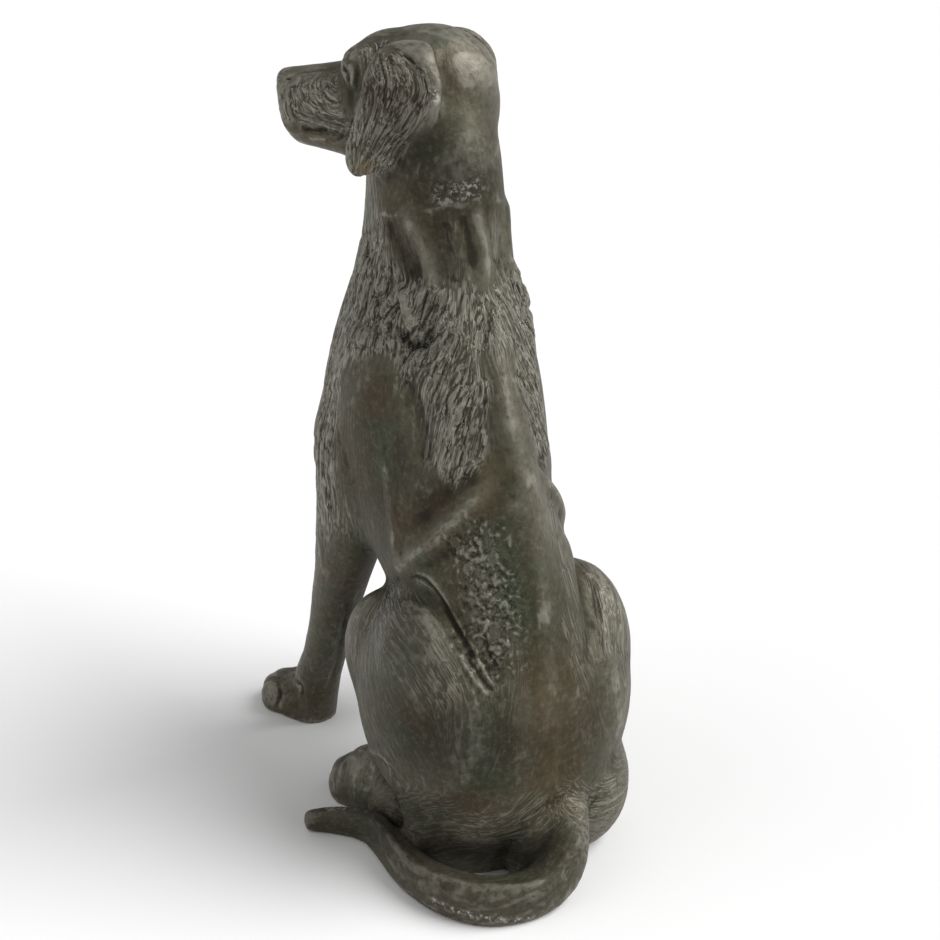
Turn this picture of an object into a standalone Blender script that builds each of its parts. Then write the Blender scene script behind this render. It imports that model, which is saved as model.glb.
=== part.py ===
"""A life-size seated dog, a garden ornament cast in bronze as one piece.

The dog sits on the ground plane z = 0, facing -Y, with its left side at +X and its head turned to its left.
Every mass is modelled as clay, fused, smoothed and cut flat where it rests.
"""

import math

import bmesh
import bpy
import numpy as np
from mathutils import Matrix, Vector

# Driving dimensions, in metres and radians. The pose and the proportions are in hundredths of the height.
HEIGHT = 0.80
UNIT = HEIGHT / 100
HEAD_TURN = math.radians(38)
HEAD_DROP = math.radians(10)
HEAD_CENTRE = (0.3, -12.0, 92.0)
# Where each hock and each half of the seat meet the ground: the tail leaves less room on the left
HOCKS = {1: (8.4, 8.6), -1: (13.0, 11.0)}
SEATS = {1: (6.4, 8.8), -1: (7.4, 10.5)}

# How finely the clay is meshed
VOXEL = HEIGHT / 178
SURFACE_FACES = 8600
RING_POINTS = 28
RINGS_PER_STATION = 4

BRONZE = (0.075, 0.068, 0.052, 1.0)


def place(x, y, z):
    """A point given in hundredths of the height, in metres."""
    return Vector((x, y, z)) * UNIT


def clear_scene():
    for obj in list(bpy.data.objects):
        bpy.data.objects.remove(obj)


def smooth_rows(rows, steps):
    """Rows of numbers with a Catmull-Rom curve drawn through them, steps rows for each given one."""
    rows = np.array(rows, float)
    padded = np.vstack([2 * rows[0] - rows[1], rows, 2 * rows[-1] - rows[-2]])
    drawn = []
    for i in range(len(rows) - 1):
        a, b, c, d = padded[i : i + 4]
        for t in np.arange(steps) / steps:
            drawn.append(
                0.5 * (2 * b + (c - a) * t + (2 * a - 5 * b + 4 * c - d) * t**2 + (3 * b - a - 3 * c + d) * t**3)
            )
    drawn.append(rows[-1])
    return np.array(drawn)


def ring(clay, centre, side, back, front, round_back, round_front):
    """One cross-section around its widest line; the exponents say how full the back and front halves are."""
    made = []
    for k in range(RING_POINTS):
        angle = 2 * math.pi * k / RING_POINTS
        c, s = math.cos(angle), math.sin(angle)
        reach, power = (back, 2 / round_back) if s > 0 else (front, 2 / round_front)
        made.append(
            clay.verts.new(centre + side * math.copysign(abs(c) ** power, c) + reach * abs(s) ** power)
        )
    return made


def loft(clay, rings):
    """Skins a list of rings and closes both ends."""
    for low, high in zip(rings, rings[1:]):
        for k in range(RING_POINTS):
            after = (k + 1) % RING_POINTS
            clay.faces.new((low[k], low[after], high[after], high[k]))
    clay.faces.new(rings[0][::-1])
    clay.faces.new(rings[-1])


def limb(clay, stations, across=(1, 0, 0), fullness=(2, 2), frame=Matrix.Identity(4)):
    """A tube along stations of (x, y, z, half width, half depth); across is the direction of its width."""
    rows = smooth_rows(stations, RINGS_PER_STATION)
    rings = []
    for i, (x, y, z, width, depth) in enumerate(rows):
        before, after = rows[max(i - 1, 0)][:3], rows[min(i + 1, len(rows) - 1)][:3]
        along = Vector(after - before).normalized()
        deep = along.cross(Vector(across)).normalized()
        side = deep.cross(along).normalized()
        deep = deep * depth * UNIT
        made = ring(clay, place(x, y, z), side * width * UNIT, deep, -deep, *fullness)
        rings.append(made)
    loft(clay, rings)
    bmesh.ops.transform(clay, matrix=frame, verts=[v for made in rings for v in made])


def ball(clay, centre, radii, turn=(0, 0, 0), frame=Matrix.Identity(4)):
    """An ellipsoid; turn is its rotation about X, Y and Z in degrees."""
    spin = (
        Matrix.Rotation(math.radians(turn[2]), 4, "Z")
        @ Matrix.Rotation(math.radians(turn[1]), 4, "Y")
        @ Matrix.Rotation(math.radians(turn[0]), 4, "X")
    )
    size = Matrix.Diagonal((*(r * UNIT for r in radii), 1))
    matrix = frame @ Matrix.Translation(place(*centre)) @ spin @ size
    bmesh.ops.create_uvsphere(clay, u_segments=24, v_segments=16, radius=1, matrix=matrix)


def trunk(clay):
    """Rump, belly, ribs and neck, as sections between a point on the back and one on the front."""
    sections = [
        # back y, back z, front y, front z, half width, share of the depth behind the widest line, back fullness
        (13.6, -4, 2, -4, 9.6, 0.5, 2.6),
        (17.6, 4, 1, 2, 11.2, 0.54, 2.8),
        (20.4, 10, 0, 8, 12.0, 0.58, 3.0),
        (21.2, 17, -2, 14, 12.0, 0.58, 2.8),
        (20.7, 25, -4, 20, 11.6, 0.56, 2.5),
        (18.4, 33, -6, 26, 10.8, 0.54, 2.1),
        (15.8, 41, -9, 30, 10.8, 0.52, 1.75),
        (13.8, 48, -15, 34, 11.2, 0.56, 1.75),
        (11.4, 54, -21, 39, 12.0, 0.6, 1.75),
        (8.8, 60, -24.5, 46, 12.6, 0.6, 1.8),
        (6.0, 66, -24.5, 54, 11.8, 0.58, 1.85),
        (3.4, 71.5, -22.3, 62, 10.0, 0.56, 1.9),
        (1.9, 77, -19.9, 69.5, 8.3, 0.54, 2.0),
        (1.2, 82, -18.8, 76, 7.6, 0.52, 2.0),
        (0.2, 87, -18.2, 83.5, 7.2, 0.5, 2.0),
        (-2.6, 91.5, -17.2, 89.5, 6.4, 0.5, 2.0),
        (-6.0, 95, -15.5, 94, 4.6, 0.5, 2.0),
    ]
    rings = []
    for back_y, back_z, front_y, front_z, width, share, fullness in smooth_rows(sections, RINGS_PER_STATION):
        back, front = place(0, back_y, back_z), place(0, front_y, front_z)
        widest = back.lerp(front, share)
        rings.append(
            ring(clay, widest, Vector((width * UNIT, 0, 0)), back - widest, front - widest, fullness, 2.3)
        )
    loft(clay, rings)


def shoulder(clay, side):
    ball(clay, (side * 7.2, -9.5, 56), (5.6, 8.0, 13.0), turn=(-14, 0, 0))
    ball(clay, (side * 8.8, -14.0, 45), (4.8, 7.5, 10.5), turn=(10, 0, 0))


def fore_leg(clay, side):
    limb(
        clay,
        [
            (side * 8.6, -14.4, 45, 4.5, 6.7),
            (side * 8.9, -15.4, 37, 4.4, 5.9),
            (side * 9.1, -17.5, 30, 3.9, 4.5),
            (side * 9.2, -20.0, 23.5, 3.4, 3.7),
            (side * 9.3, -22.5, 17, 3.1, 3.3),
            (side * 9.4, -25.0, 11, 3.0, 3.1),
            (side * 9.5, -27.4, 6.5, 3.3, 3.4),
            (side * 9.6, -29.4, -1, 3.5, 3.3),
        ],
    )
    ball(clay, (side * 9.0, -13.0, 35.5), (3.2, 2.4, 3.6), turn=(15, 0, 0))


def fore_paw(clay, side):
    turned = Matrix.Translation(place(side * 10.2, -31.2, 0)) @ Matrix.Rotation(side * math.radians(22), 4, "Z")
    ball(clay, (0, 0.2, 1.4), (4.1, 4.8, 3.6), frame=turned)
    for across, ahead, radius in ((-2.9, -2.6, 1.6), (-1.0, -4.0, 1.75), (1.0, -4.0, 1.75), (2.9, -2.6, 1.6)):
        ball(clay, (across, ahead, 1.6), (radius, 2.5, 2.6), frame=turned)


def haunch(clay, side):
    ball(clay, (side * 8.2, 5.9, 20.4), (8.4, 13.8, 15.6), turn=(-12, 0, 0))
    ball(clay, (side * 9.8, -3.6, 23.8), (5.4, 6.6, 8.6), turn=(-15, 0, 0))
    ball(clay, (side * 10.2, 8.4, 25.2), (6.0, 9.0, 11.0), turn=(0, side * 5, 0))
    ball(clay, (side * 6.4, 9.2, 20.0), (8.0, 10.2, 14.5), turn=(-6, 0, 0))
    across, back = SEATS[side]
    ball(clay, (side * across, back, 8.0), (across + 1, back - 1, 10.0))


def hind_leg(clay, side):
    hock, back = HOCKS[side]
    limb(
        clay,
        [
            (side * 11.0, -4.0, 20, 3.4, 4.8),
            (side * 10.8, 1.8, 12, 3.2, 4.2),
            (side * hock, back - 3, 5.5, 3.0, 3.4),
            (side * hock, back, 1, 2.8, 2.8),
        ],
    )
    limb(
        clay,
        [
            (side * hock, back, 2.0, 2.8, 2.8),
            (side * (0.7 * hock + 3.7), back - 5, 2.2, 2.9, 2.9),
            (side * (0.3 * hock + 8.0), -0.5, 2.3, 3.2, 3.2),
            (side * 11.4, -4.0, 2.2, 3.6, 3.2),
        ],
    )


def hind_paw(clay, side):
    turned = Matrix.Translation(place(side * 11.3, -5.9, 0)) @ Matrix.Rotation(side * math.radians(16), 4, "Z")
    ball(clay, (0, 0.5, 2.3), (4.1, 5.1, 6.0), frame=turned)
    for across, ahead, radius in ((-2.8, -2.6, 1.6), (-1.0, -4.0, 1.75), (1.0, -4.0, 1.75), (2.8, -2.6, 1.6)):
        ball(clay, (across, ahead, 1.9), (radius, 2.7, 3.2), frame=turned)


def tail(clay):
    """Round the left side on the ground, taller than it is wide. Half width here is upright, half depth level."""
    ball(clay, (0.2, 18.4, 5.0), (4.4, 4.0, 9.0))
    limb(
        clay,
        [
            (-2.6, 16.0, 12.8, 2.9, 2.6),
            (-2.5, 20.0, 9.6, 3.0, 2.5),
            (-1.2, 22.8, 5.8, 3.1, 2.4),
            (2.2, 24.1, 3.2, 3.1, 2.4),
            (6.2, 24.2, 2.6, 3.0, 2.4),
            (10.0, 22.8, 2.5, 3.0, 2.4),
            (13.3, 18.9, 2.4, 2.9, 2.3),
            (15.1, 12.8, 2.2, 2.7, 2.0),
            (15.1, 6.8, 2.0, 2.4, 1.8),
            (15.3, 2.2, 1.8, 2.2, 1.65),
            (16.9, -0.5, 1.6, 2.0, 1.5),
            (19.5, -2.6, 1.5, 1.8, 1.3),
            (22.1, -3.9, 1.4, 1.5, 1.0),
        ],
        across=(0, 0, 1),
        fullness=(3, 3),
    )


def head_frame():
    return (
        Matrix.Translation(place(*HEAD_CENTRE))
        @ Matrix.Rotation(HEAD_TURN, 4, "Z")
        @ Matrix.Rotation(HEAD_DROP, 4, "X")
    )


def skull(clay, head):
    ball(clay, (0, 1.0, 0.4), (6.8, 8.7, 6.8), frame=head)
    ball(clay, (0, -3.0, 3.0), (5.0, 5.2, 4.0), frame=head)
    ball(clay, (0, 4.8, -2.0), (6.3, 4.4, 6.5), frame=head)
    for side in (1, -1):
        ball(clay, (side * 2.7, -5.4, 3.3), (2.9, 2.8, 2.8), frame=head)
        ball(clay, (side * 4.0, -2.0, -2.6), (2.8, 5.2, 5.2), frame=head)
        ball(clay, (side * 4.8, 0.6, -3.2), (3.2, 4.6, 5.6), frame=head)
    limb(
        clay,
        [
            (0, -2.0, -1.2, 4.8, 5.4),
            (0, -6.5, -1.0, 4.3, 4.8),
            (0, -10.0, -0.8, 3.9, 4.4),
            (0, -13.5, -0.8, 3.7, 4.3),
            (0, -16.8, -0.8, 3.5, 4.1),
            (0, -18.0, -0.8, 2.8, 3.3),
        ],
        fullness=(2.8, 2.8),
        frame=head,
    )
    ball(clay, (0, -17.2, 2.0), (2.0, 1.7, 1.7), frame=head)
    limb(
        clay,
        [
            (0, 3.0, -10.5, 4.2, 4.4),
            (0, -3.0, -8.0, 3.6, 3.4),
            (0, -9.0, -5.9, 3.0, 2.3),
            (0, -14.0, -4.9, 2.6, 1.6),
            (0, -17.4, -4.3, 2.0, 1.5),
        ],
        frame=head,
    )


def ear(clay, head, side):
    """A broad hanging ear: its root on the side of the skull, its rounded tip forward beside the throat."""
    back, down = (0, 0) if side > 0 else (-0.6, -0.8)
    limb(
        clay,
        [
            (side * 4.4, 1.8 + back, 5.4 + down, 2.4, 0.9),
            (side * 6.1, 1.9 + back, 5.3 + down, 3.9, 1.1),
            (side * 7.7, 1.9 + back, 3.4 + down, 4.9, 1.1),
            (side * 8.5, 1.6 + back, 0.6 + down, 5.4, 1.1),
            (side * 8.8, -0.4 + back, -2.4 + down, 4.6, 1.05),
            (side * 8.7, -3.4 + back, -5.0, 3.2, 1.0),
            (side * 8.4, -5.2 + back, -6.7, 2.1, 0.95),
            (side * 8.0, -6.2 + back, -8.1, 1.0, 0.7),
        ],
        across=(0, 1, 0),
        frame=head,
    )


def clay_object(name, clay):
    mesh = bpy.data.meshes.new(name)
    clay.to_mesh(mesh)
    clay.free()
    obj = bpy.data.objects.new(name, mesh)
    bpy.context.scene.collection.objects.link(obj)
    return obj


def fused(obj, voxel, rounds):
    """The object's overlapping masses as one skin, smoothed by so many rounds."""
    remesh = obj.modifiers.new("fuse", "REMESH")
    remesh.mode = "VOXEL"
    remesh.voxel_size = voxel
    smooth = obj.modifiers.new("smooth", "SMOOTH")
    smooth.factor = 0.5
    smooth.iterations = rounds
    graph = bpy.context.evaluated_depsgraph_get()
    mesh = bpy.data.meshes.new_from_object(obj.evaluated_get(graph))
    bpy.data.objects.remove(obj)
    return mesh


def distance_to_line(points, line):
    """The distance of each point from a line drawn through a few stations, and how far along it lies, 0 to 1."""
    drawn = smooth_rows(line, 6)
    nearest = np.full(len(points), np.inf)
    along = np.zeros(len(points))
    for i, (a, b) in enumerate(zip(drawn, drawn[1:])):
        step = b - a
        t = np.clip((points - a) @ step / (step @ step), 0, 1)
        gap = np.linalg.norm(points - a - t[:, None] * step, axis=1)
        closer = gap < nearest
        nearest[closer] = gap[closer]
        along[closer] = (i + t[closer]) / (len(drawn) - 1)
    return nearest, along


def carve(mesh, strokes):
    """Pulls the skin out or pushes it in along lines of (x, y, z); each fades out towards its two ends."""
    count = len(mesh.vertices)
    points, normals = np.empty(count * 3), np.empty(count * 3)
    mesh.vertices.foreach_get("co", points)
    mesh.vertex_normals.foreach_get("vector", normals)
    points, normals = points.reshape(-1, 3), normals.reshape(-1, 3)
    lift = np.zeros(count)
    for line, reach, height in strokes:
        gap, along = distance_to_line(points / UNIT, line)
        lift += height * UNIT * np.exp(-((gap / reach) ** 2)) * np.sin(math.pi * np.clip(along, 0.02, 0.98)) ** 0.5
    mesh.vertices.foreach_set("co", (points + normals * lift[:, None]).ravel())
    mesh.update()


def main_folds():
    """The carving that shows from a step away: line, half width and height, in hundredths of the height."""
    folds = []
    # The ridge of the spine, from the foot of the neck to the rump
    folds.append(([(0, 4, 72), (0, 9.5, 60), (0, 14, 48), (0, 17.5, 35), (0, 20, 22)], 1.6, 0.45))
    for side in (1, -1):
        # The hollow along each side of it
        line = [(side * 4.5, 7, 60), (side * 4.6, 11.5, 49), (side * 5, 15, 38)]
        folds.append((line, 2.4, -0.4))
        # The groove that parts the thigh from the flank, and the lip of skin above it
        line = [(side * 9.8, -6, 31), (side * 10.2, 0, 35), (side * 9.8, 6, 36.6), (side * 9.0, 12, 34.6)]
        line += [(side * 7.8, 16, 31.6), (side * 6.0, 18.4, 28.0)]
        folds.append((line, 1.4, -0.6))
        line = [(side * 9.6, 5.5, 39.6), (side * 8.8, 11, 37.8), (side * 7.6, 15.4, 34.6), (side * 5.4, 18.4, 30.4)]
        folds.append((line, 1.3, 0.4))
    return folds


def model():
    clay = bmesh.new()
    trunk(clay)
    for side in (1, -1):
        shoulder(clay, side)
        fore_leg(clay, side)
        haunch(clay, side)
        hind_leg(clay, side)
    body = fused(clay_object("body_clay", clay), VOXEL, 18)

    clay = bmesh.new()
    clay.from_mesh(body)
    head = head_frame()
    skull(clay, head)
    for side in (1, -1):
        ear(clay, head, side)
        fore_paw(clay, side)
        hind_paw(clay, side)
    tail(clay)
    whole = fused(clay_object("whole_clay", clay), VOXEL, 5)
    carve(whole, main_folds())

    dog = bpy.data.objects.new("seated_dog", whole)
    parts = bpy.data.collections.new("Seated dog")
    bpy.context.scene.collection.children.link(parts)
    parts.objects.link(dog)

    thin = dog.modifiers.new("fewer faces", "DECIMATE")
    thin.ratio = SURFACE_FACES / (2 * len(whole.polygons))

    cutters = bpy.data.collections.new("Cutters")
    bpy.context.scene.collection.children.link(cutters)
    depth = 20 * UNIT
    bpy.ops.mesh.primitive_cube_add(size=1, location=(0, 0, -depth / 2))
    ground = bpy.context.object
    ground.name = "ground_cutter"
    ground.scale = (2 * HEIGHT, 2 * HEIGHT, depth)
    for used in list(ground.users_collection):
        used.objects.unlink(ground)
    cutters.objects.link(ground)
    ground.hide_render = True
    ground.display_type = "WIRE"
    cut = dog.modifiers.new("flat underside", "BOOLEAN")
    cut.operation = "DIFFERENCE"
    cut.object = ground

    bronze = bpy.data.materials.new("patinated bronze")
    bronze.use_nodes = True
    shader = bronze.node_tree.nodes["Principled BSDF"]
    shader.inputs["Base Color"].default_value = BRONZE
    shader.inputs["Roughness"].default_value = 0.45
    shader.inputs["Metallic"].default_value = 0.6
    whole.materials.append(bronze)
    whole.shade_smooth()
    return dog


def stand_on_origin(dog):
    """Moves the finished shape so that the middle of its underside is the origin."""
    graph = bpy.context.evaluated_depsgraph_get()
    corners = np.array([corner[:] for corner in dog.evaluated_get(graph).bound_box])
    middle = (corners.min(axis=0) + corners.max(axis=0)) / 2
    dog.data.transform(Matrix.Translation((-middle[0], -middle[1], 0)))


clear_scene()
stand_on_origin(model())
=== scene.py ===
"""The looks of a seated dog cast in bronze: carved coat, chased folds and a dark olive-brown patina.

Points written as pairs are pixels of the photograph, which is 940 by 940. They are cast from its camera
onto the dog. Lengths are in metres and the dog faces -Y.
"""

import math

import bmesh
import bpy
import numpy as np
from mathutils import Matrix, Vector
from mathutils.bvhtree import BVHTree


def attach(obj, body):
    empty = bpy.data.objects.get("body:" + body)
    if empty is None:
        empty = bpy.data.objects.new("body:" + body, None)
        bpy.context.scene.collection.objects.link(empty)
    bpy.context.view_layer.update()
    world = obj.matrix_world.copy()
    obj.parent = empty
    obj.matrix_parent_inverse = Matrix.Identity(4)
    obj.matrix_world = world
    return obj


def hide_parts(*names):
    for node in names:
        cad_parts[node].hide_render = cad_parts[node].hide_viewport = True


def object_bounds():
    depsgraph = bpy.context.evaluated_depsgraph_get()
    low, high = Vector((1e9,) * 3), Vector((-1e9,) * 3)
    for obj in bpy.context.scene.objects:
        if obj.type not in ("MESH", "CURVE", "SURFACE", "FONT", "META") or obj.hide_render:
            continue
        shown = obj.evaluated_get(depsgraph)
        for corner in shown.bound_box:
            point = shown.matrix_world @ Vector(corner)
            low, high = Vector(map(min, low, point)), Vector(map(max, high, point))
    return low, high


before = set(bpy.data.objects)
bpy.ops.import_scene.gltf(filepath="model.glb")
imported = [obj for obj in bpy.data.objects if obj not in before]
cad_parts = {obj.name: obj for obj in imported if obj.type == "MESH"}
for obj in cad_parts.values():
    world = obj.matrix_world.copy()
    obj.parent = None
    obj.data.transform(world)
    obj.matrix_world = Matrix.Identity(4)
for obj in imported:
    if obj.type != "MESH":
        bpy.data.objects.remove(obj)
cad_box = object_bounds()

# The camera stands behind the dog's left side and above it, about two metres away.
# Its direction, distance and focal length are the ones that put the solid on the photograph's outline.
PHOTO_SIDE = 940
AZIMUTH = math.radians(152)
ELEVATION = math.radians(25.5)
DISTANCE = 1.95
LOOKED_AT = Vector((-0.0185, 0.0501, 0.3846))
FOCAL_PIXELS = 2026.2

scene = bpy.context.scene
lens = bpy.data.cameras.new("photograph camera")
lens.sensor_width = 36
lens.lens = FOCAL_PIXELS / PHOTO_SIDE * lens.sensor_width
camera = bpy.data.objects.new("photograph camera", lens)
scene.collection.objects.link(camera)
scene.camera = camera
backwards = Vector(
    (
        math.sin(AZIMUTH) * math.cos(ELEVATION),
        -math.cos(AZIMUTH) * math.cos(ELEVATION),
        math.sin(ELEVATION),
    )
)
camera.location = LOOKED_AT + DISTANCE * backwards
camera.rotation_mode = "QUATERNION"
camera.rotation_quaternion = (-backwards).to_track_quat("-Z", "Y")

# The dog is one hollow bronze casting, modelled in wax or clay and chased after it was cast.
# Its skin starts from the solid, smoothed out of its facets and meshed finely enough to carve.
FINE_VOXEL = 0.0020
FINAL_TRIANGLES = 196000
FLAT_SOLE = 0.0006
SAME_POINT = 1e-6
ON_GROUND = 1e-5
SOLE_EDGE = math.radians(20)


def smooth_skin(node):
    """The solid's own form without its facets, as a fine even mesh."""
    raw = bmesh.new()
    raw.from_mesh(node.data)
    bmesh.ops.remove_doubles(raw, verts=raw.verts, dist=SAME_POINT)
    crease = raw.edges.layers.float.new("crease_edge")
    for edge in raw.edges:
        if max(v.co.z for v in edge.verts) < ON_GROUND and edge.calc_face_angle(0) > SOLE_EDGE:
            edge[crease] = 1
    mesh = bpy.data.meshes.new("skin")
    raw.to_mesh(mesh)
    raw.free()
    obj = bpy.data.objects.new("skin", mesh)
    scene.collection.objects.link(obj)
    rounded = obj.modifiers.new("rounded", "SUBSURF")
    rounded.levels = rounded.render_levels = 2
    fine = obj.modifiers.new("fine", "REMESH")
    fine.mode = "VOXEL"
    fine.voxel_size = FINE_VOXEL
    even = obj.modifiers.new("even", "SMOOTH")
    even.factor = 0.5
    even.iterations = 6
    finished = bpy.data.meshes.new_from_object(obj.evaluated_get(bpy.context.evaluated_depsgraph_get()))
    bpy.data.objects.remove(obj)
    return finished


def vertex_places(mesh):
    places = np.empty(len(mesh.vertices) * 3)
    mesh.vertices.foreach_get("co", places)
    return places.reshape(-1, 3)


def vertex_normals(mesh):
    normals = np.empty(len(mesh.vertices) * 3)
    mesh.vertex_normals.foreach_get("vector", normals)
    return normals.reshape(-1, 3)


def move_vertices(mesh, places):
    mesh.vertices.foreach_set("co", places.ravel())
    mesh.update()


def edge_ends(mesh):
    ends = np.empty(len(mesh.edges) * 2, int)
    mesh.edges.foreach_get("vertices", ends)
    return ends.reshape(-1, 2)


def neighbour_mean(places, ends):
    """For every vertex, the mean place of those that it shares an edge with."""
    count = np.bincount(ends.ravel(), minlength=len(places))
    total = np.zeros_like(places)
    for i in range(3):
        total[:, i] = np.bincount(ends[:, 0], places[ends[:, 1], i], len(places))
        total[:, i] += np.bincount(ends[:, 1], places[ends[:, 0], i], len(places))
    return total / np.maximum(count, 1)[:, None]


skin = smooth_skin(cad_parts["seated_dog"])
skin_shape = bmesh.new()
skin_shape.from_mesh(skin)
skin_tree = BVHTree.FromBMesh(skin_shape)
skin_shape.free()

# The dog's own middle plane, which its trunk and legs mirror in, and its turned head's middle plane.
# They place on the far side what the photograph shows on the near one.
LENGTH_UNIT = 0.008
BODY_MIDDLE = Vector((-2.842, 0, 0)) * LENGTH_UNIT
HEAD_MIDDLE = Vector((-2.542, -6.504, 92.0)) * LENGTH_UNIT
HEAD_TURN = math.radians(38)
HEAD_ACROSS = Vector((math.cos(HEAD_TURN), math.sin(HEAD_TURN), 0))
LINE_STEPS = 4
MILLIMETRE = 0.001


def mirrored(point, side):
    """A point's place on the other side of the body or of the head."""
    if side == "head":
        return point - 2 * (point - HEAD_MIDDLE).dot(HEAD_ACROSS) * HEAD_ACROSS
    return Vector((2 * BODY_MIDDLE.x - point.x, point.y, point.z))


def on_skin(pixel):
    """Where the photograph's camera sees this pixel on the dog."""
    across = (pixel[0] - PHOTO_SIDE / 2) / FOCAL_PIXELS
    up = (PHOTO_SIDE / 2 - pixel[1]) / FOCAL_PIXELS
    ray = camera.rotation_quaternion @ Vector((across, up, -1))
    return skin_tree.ray_cast(camera.location, ray.normalized())[0]


def stations(line):
    """A line's points on the dog: pixels are cast onto it, and three numbers are hundredths of its height."""
    found = []
    for point in line:
        place = on_skin(point) if len(point) == 2 else skin_tree.find_nearest(Vector(point) * LENGTH_UNIT)[0]
        if place is not None:
            found.append(place)
    return found


def drawn(points, steps):
    """A smooth curve through the points, with so many steps from each to the next."""
    rows = np.array([p[:] for p in points], float)
    padded = np.vstack([2 * rows[0] - rows[1], rows, 2 * rows[-1] - rows[-2]])
    curve = []
    for i in range(len(rows) - 1):
        a, b, c, d = padded[i : i + 4]
        for t in np.arange(steps) / steps:
            bent = 2 * b + (c - a) * t + (2 * a - 5 * b + 4 * c - d) * t**2
            curve.append(0.5 * (bent + (3 * b - a - 3 * c + d) * t**3))
    curve.append(rows[-1])
    return np.array(curve)


def near_line(places, line, reach):
    """1 on a line drawn over the dog, falling off smoothly to 0 beyond its reach in millimetres."""
    curve = drawn(stations(line), LINE_STEPS)
    gap = np.sqrt(((places[:, None] - curve[None]) ** 2).sum(2).min(1))
    return np.exp(-((gap / (MILLIMETRE * reach)) ** 2))


# The nape: the back of the skull flows into the neck without a dent
NAPE = [(444, 104), (466, 102), (488, 98)]
NAPE_REACH = 34
FILLING_ROUNDS = 220
FILLING_STEP = 0.9
NAPE_EDGE = 0.01


def fill_nape(mesh):
    """Lets the hollow of the nape rise to its surroundings, and leaves all that stands out."""
    everywhere = vertex_places(mesh)
    share = near_line(everywhere, NAPE, NAPE_REACH)
    near = np.flatnonzero(share > NAPE_EDGE)
    number = np.full(len(everywhere), -1)
    number[near] = np.arange(len(near))
    ends = number[edge_ends(mesh)]
    ends = ends[(ends >= 0).all(1)]
    places = everywhere[near]
    normals = vertex_normals(mesh)[near]
    for _ in range(FILLING_ROUNDS):
        step = FILLING_STEP * (neighbour_mean(places, ends) - places)
        rise = np.clip((step * normals).sum(1), 0, None)
        places = places + (share[near] * rise)[:, None] * normals
    everywhere[near] = places
    move_vertices(mesh, everywhere)


fill_nape(skin)

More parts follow.
